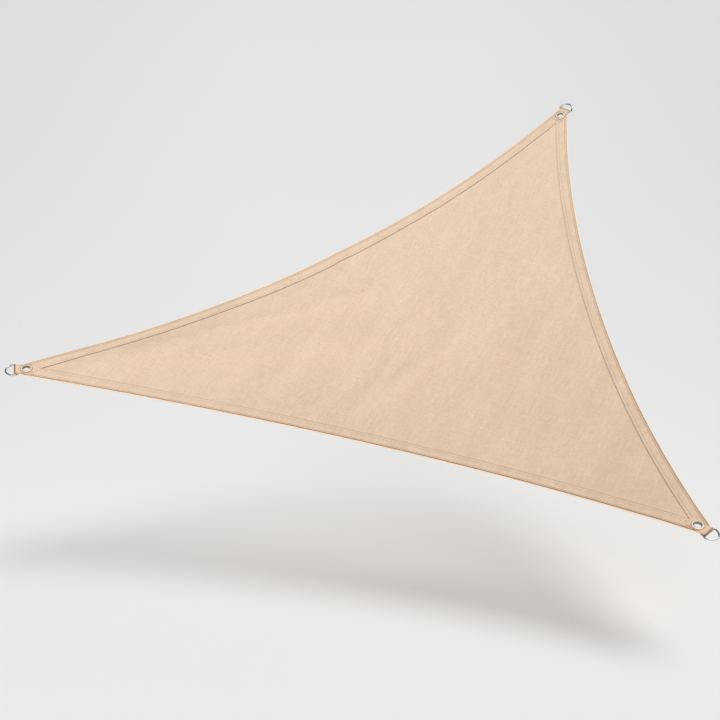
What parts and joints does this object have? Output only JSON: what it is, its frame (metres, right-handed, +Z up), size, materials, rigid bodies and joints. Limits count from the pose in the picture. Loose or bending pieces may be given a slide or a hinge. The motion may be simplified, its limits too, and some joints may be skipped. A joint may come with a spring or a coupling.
{
  "type": "shade sail",
  "caption": "Triangular shade sail of hemmed cloth with hollow-cut edges, held taut at its corners by wire rings in folded webbing straps, each clamped through the cloth by a metal eyelet.",
  "frame": {"origin": "the point inside the bow of the high corner's ring where it bears on whatever holds it", "axes": "+Z up; +X to the right, from the left corner towards the right corner's side; +Y away from the front edge, towards the high corner"},
  "size_m": [1.9645, 1.6874, 0.9242],
  "materials": {
    "cloth": "matt",
    "webbing": "matt",
    "ring_steel": "polished",
    "eyelet_steel": "satin"
  },
  "bodies": {
    "root": {"sail_cloth": "cloth", "strap_left": "webbing", "ring_left": "ring_steel", "eyelet_left": "eyelet_steel", "strap_right": "webbing", "ring_right": "ring_steel", "eyelet_right": "eyelet_steel", "strap_high": "webbing", "ring_high": "ring_steel", "eyelet_high": "eyelet_steel"}
  },
  "joints": []
}
